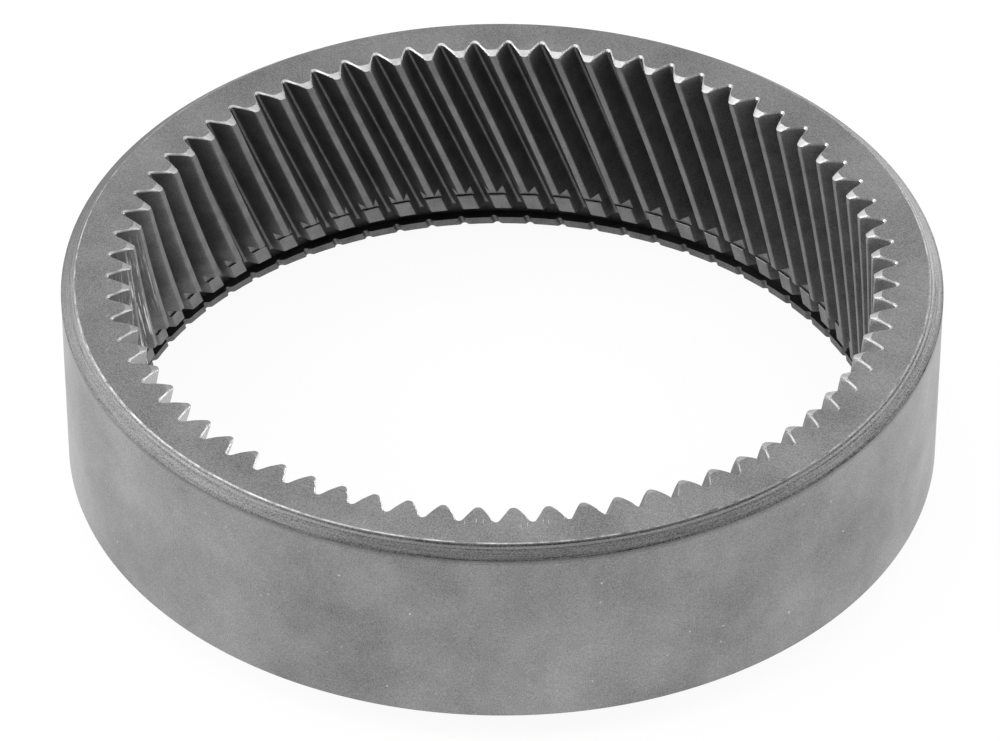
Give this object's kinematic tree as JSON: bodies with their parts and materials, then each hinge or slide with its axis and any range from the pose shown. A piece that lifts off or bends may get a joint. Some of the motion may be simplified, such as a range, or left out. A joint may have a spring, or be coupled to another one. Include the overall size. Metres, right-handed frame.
{
  "type": "internal ring gear",
  "caption": "Steel ring with right-hand helical teeth cut in its bore, chamfered tooth ends, a plain outer wall and a groove for a retaining ring near the lower face.",
  "frame": {"origin": "on the ring's axis, in the plane of the lower face", "axes": "+Z along the ring's axis, from the face with the groove and stub teeth to the face with the full tooth ends; X and Y across the ring, +Y away from the picture's camera"},
  "size_m": [0.174, 0.174, 0.0465],
  "materials": {
    "steel": "turned and cut bare steel, satin, with fine turned lines on the outside and dark untouched tooth flanks"
  },
  "bodies": {
    "root": {"ring_gear": "steel"}
  },
  "joints": []
}
